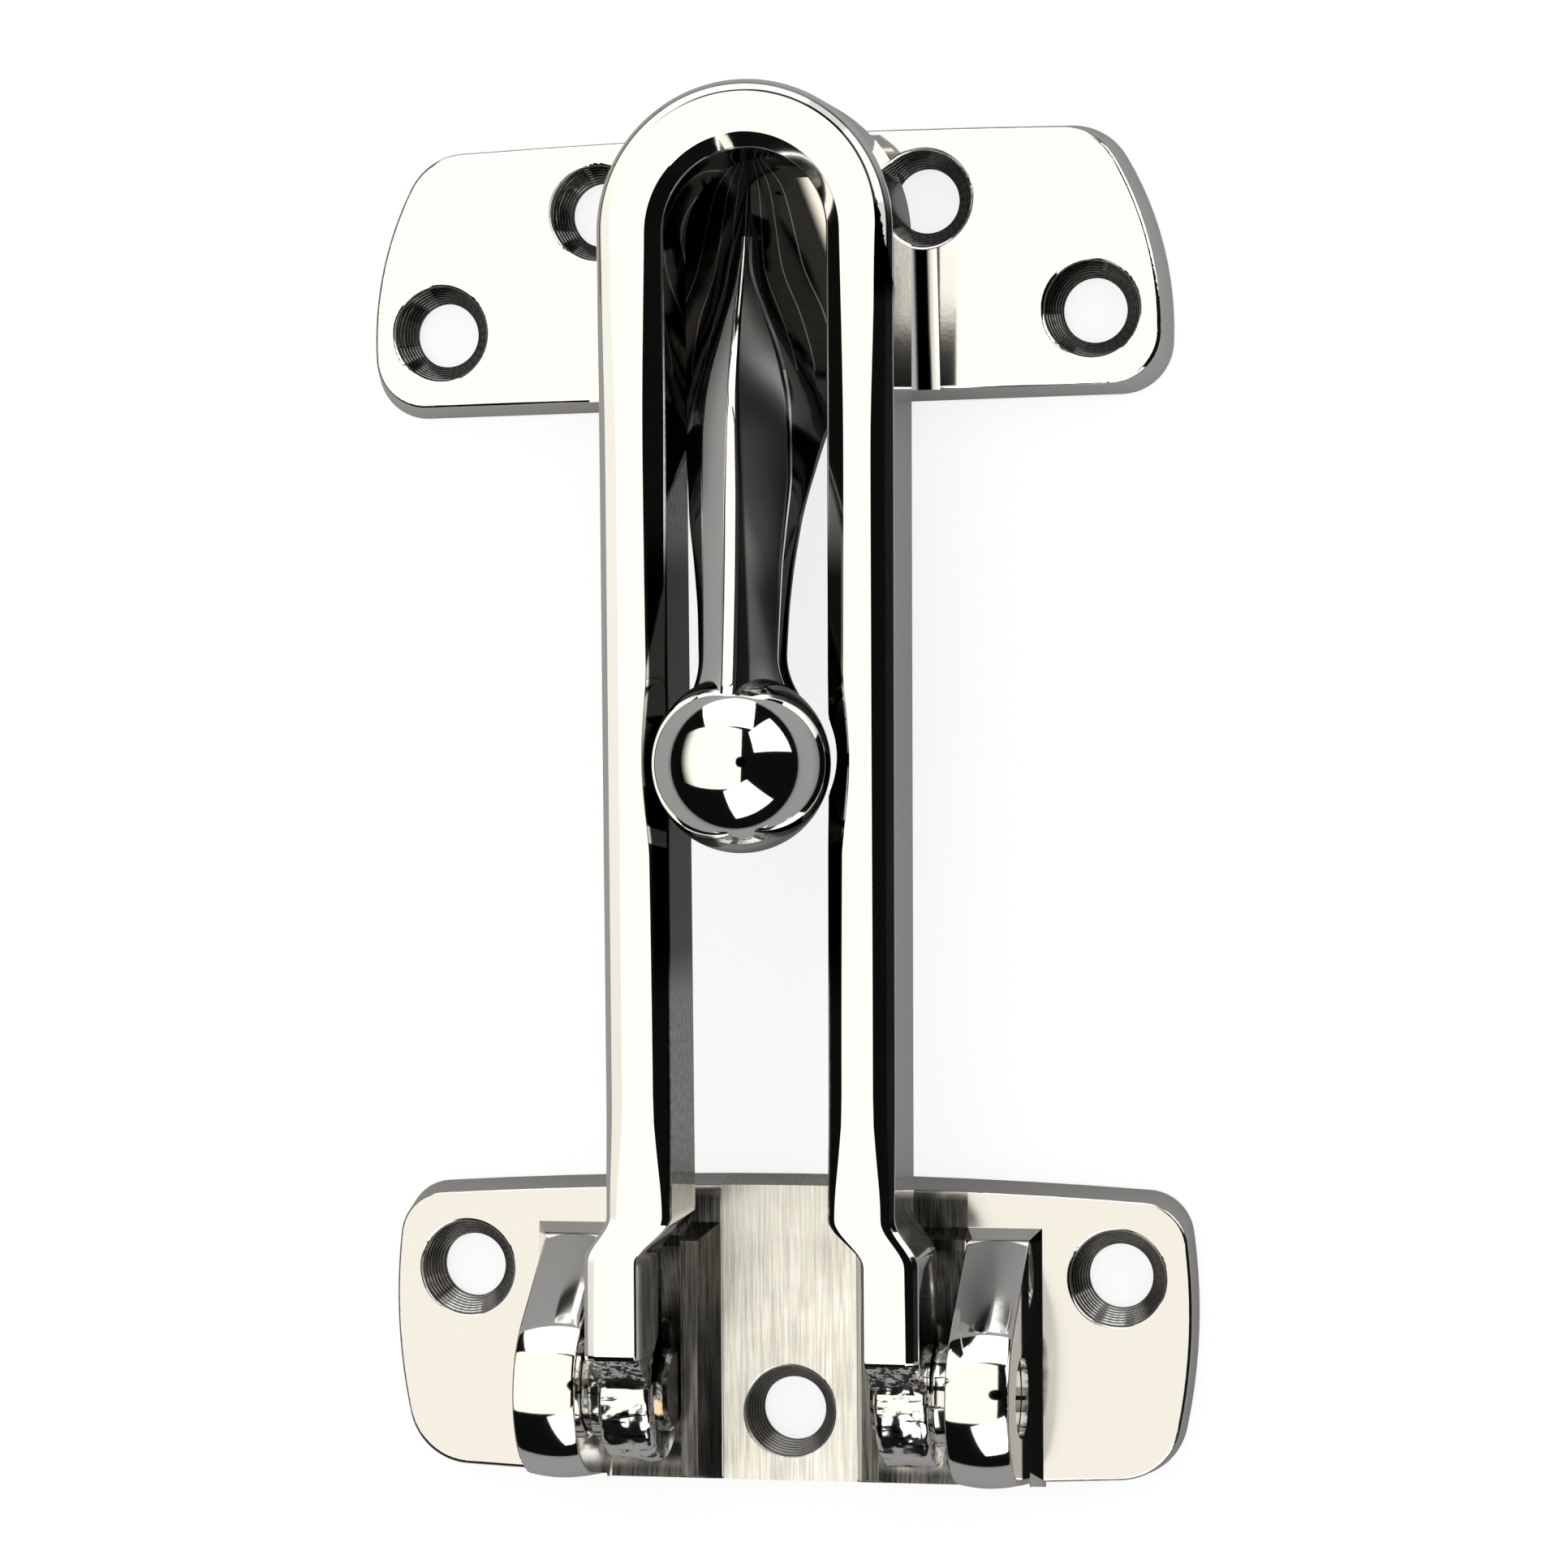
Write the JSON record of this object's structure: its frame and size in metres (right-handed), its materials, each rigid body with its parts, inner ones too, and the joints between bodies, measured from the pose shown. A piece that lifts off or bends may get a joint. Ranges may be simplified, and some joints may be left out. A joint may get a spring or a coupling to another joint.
{
  "type": "swing bar door guard",
  "caption": "Swing bar door guard: a slotted bar hinged between lugs on a plate closes over a ball-ended arm on a mating plate, to limit how far a door opens.",
  "frame": {"origin": "on the back face of the hinge plate, midway between its outer screw holes", "axes": "+X along the hinge pivot, +Y from the hinge plate to the ball plate, +Z out of the door"},
  "size_m": [0.0722, 0.119, 0.0284],
  "materials": {
    "base_plate": "polished nickel",
    "swing_bar": "polished nickel, rough cast at the knuckles",
    "pivot_pin": "turned, with thin plating",
    "ball_plate": "polished nickel"
  },
  "bodies": {
    "plates": {"base_plate": "base_plate", "pivot_pin_left": "pivot_pin", "pivot_pin_right": "pivot_pin", "ball_plate": "ball_plate"},
    "bar": {"swing_bar": "swing_bar"}
  },
  "joints": [
    {"name": "bar_swing", "type": "hinge", "parent": "plates", "child": "bar", "pos_m": [0, -0.0094, 0.0089], "axis": [1, 0, 0], "range_deg": [0, 140]}
  ]
}
